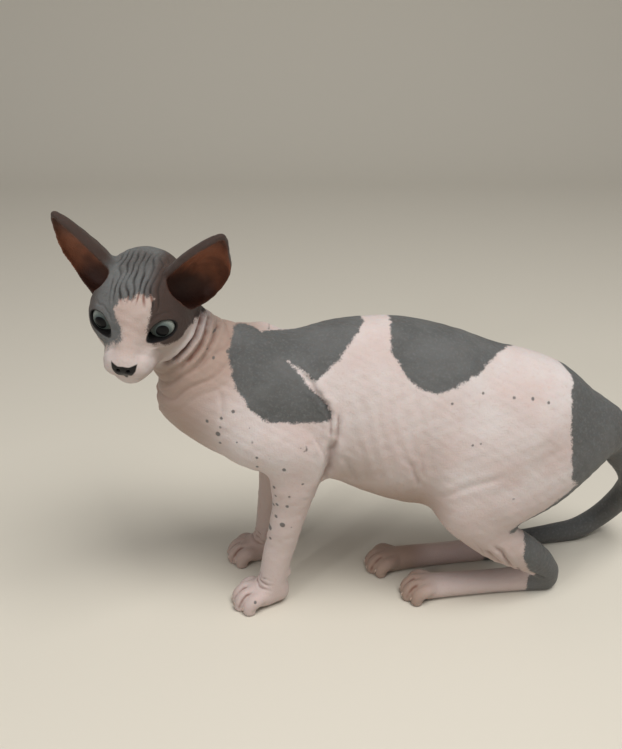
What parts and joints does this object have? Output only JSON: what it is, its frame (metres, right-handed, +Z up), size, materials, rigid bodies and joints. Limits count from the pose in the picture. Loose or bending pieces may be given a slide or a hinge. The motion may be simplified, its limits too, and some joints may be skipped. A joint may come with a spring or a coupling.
{
  "type": "sphynx cat figure",
  "caption": "Life-size still figure of a young hairless cat with slate patches on pink skin, forelegs upright, hind legs crouched, head turned to its left, tail laid on the floor.",
  "frame": {"origin": "on the floor under the middle of the bounding box", "axes": "+X from the head to the tail, +Y to the cat's right, +Z up"},
  "size_m": [0.4722, 0.1476, 0.3346],
  "materials": {
    "skin_pink": "matte bare skin",
    "skin_warm": "matte bare skin, creased",
    "skin_slate": "matte dark skin with a fine down",
    "skin_dark": "matte dark skin",
    "eye": "wet gloss"
  },
  "bodies": {
    "root": {"torso": "skin_pink", "neck": "skin_pink", "head": "skin_slate", "ear_left": "skin_dark", "ear_right": "skin_dark", "eye_left": "eye", "eye_right": "eye", "foreleg_left": "skin_pink", "forepaw_left": "skin_warm", "thigh_left": "skin_pink", "shank_left": "skin_warm", "hind_foot_left": "skin_warm", "foreleg_right": "skin_pink", "forepaw_right": "skin_warm", "thigh_right": "skin_pink", "shank_right": "skin_warm", "hind_foot_right": "skin_warm", "tail_root": "skin_slate", "tail_middle": "skin_slate", "tail_tip": "skin_slate"}
  },
  "joints": []
}
